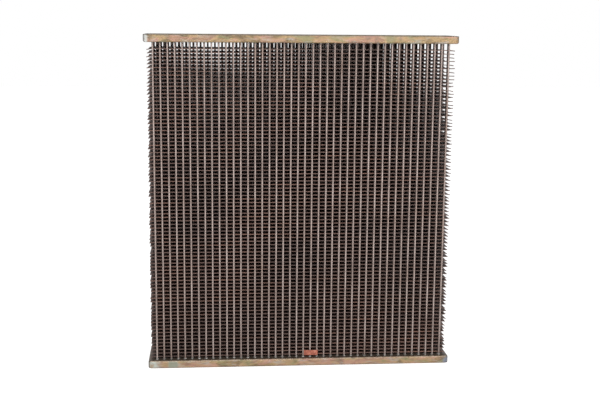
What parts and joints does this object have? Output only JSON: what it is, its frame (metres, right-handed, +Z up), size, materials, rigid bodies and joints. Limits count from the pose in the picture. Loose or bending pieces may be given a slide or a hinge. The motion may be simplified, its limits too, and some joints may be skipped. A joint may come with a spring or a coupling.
{
  "type": "radiator core",
  "caption": "Bare soldered radiator core: rows of flat upright tubes through stacked plate fins, between two open tray headers with no tanks fitted.",
  "frame": {"origin": "middle of the rectangle that the lower header's rim stands on, at the base of the core", "axes": "+Z up along the tubes, +X across the core's width, -Y the front face with the first tube row and the blank tag"},
  "size_m": [0.435, 0.0794, 0.4712],
  "materials": {
    "header_brass": "pressed brass, dull and stained, with flux and solder marks at the corners",
    "tinned_tube": "solder-tinned brass tube, dull grey",
    "fin_copper": "thin copper sheet, darkened brown by heat",
    "tag_copper": "plain copper sheet, reddish"
  },
  "bodies": {
    "root": {"upper_header_plate": "header_brass", "lower_header_plate": "header_brass", "tube_row_1": "tinned_tube", "tube_row_2": "tinned_tube", "tube_row_3": "tinned_tube", "tube_row_4": "tinned_tube", "fins_01_02": "fin_copper", "fins_03_04": "fin_copper", "fins_05_06": "fin_copper", "fins_07_08": "fin_copper", "fins_09_10": "fin_copper", "fins_11_12": "fin_copper", "fins_13_14": "fin_copper", "fins_15_16": "fin_copper", "fins_17_18": "fin_copper", "fins_19_20": "fin_copper", "fins_21_22": "fin_copper", "fins_23_24": "fin_copper", "fins_25_26": "fin_copper", "fins_27_28": "fin_copper", "fins_29_30": "fin_copper", "fins_31_32": "fin_copper", "fins_33_34": "fin_copper", "fins_35_36": "fin_copper", "fins_37_38": "fin_copper", "fins_39_40": "fin_copper", "fins_41_42": "fin_copper", "fins_43_44": "fin_copper", "fins_45_46": "fin_copper", "fins_47_48": "fin_copper", "fins_49_50": "fin_copper", "fins_51_52": "fin_copper", "fins_53_54": "fin_copper", "fins_55_56": "fin_copper", "fins_57_58": "fin_copper", "fins_59_60": "fin_copper", "fins_61_62": "fin_copper", "fins_63_64": "fin_copper", "fins_65_66": "fin_copper", "fins_67_68": "fin_copper", "fins_69_70": "fin_copper", "fins_71_72": "fin_copper", "fins_73_74": "fin_copper", "fins_75_76": "fin_copper", "fins_77_78": "fin_copper", "fins_79_80": "fin_copper", "fins_81_82": "fin_copper", "fins_83_84": "fin_copper", "fins_85_86": "fin_copper", "fins_87": "fin_copper", "blank_tag": "tag_copper"}
  },
  "joints": []
}
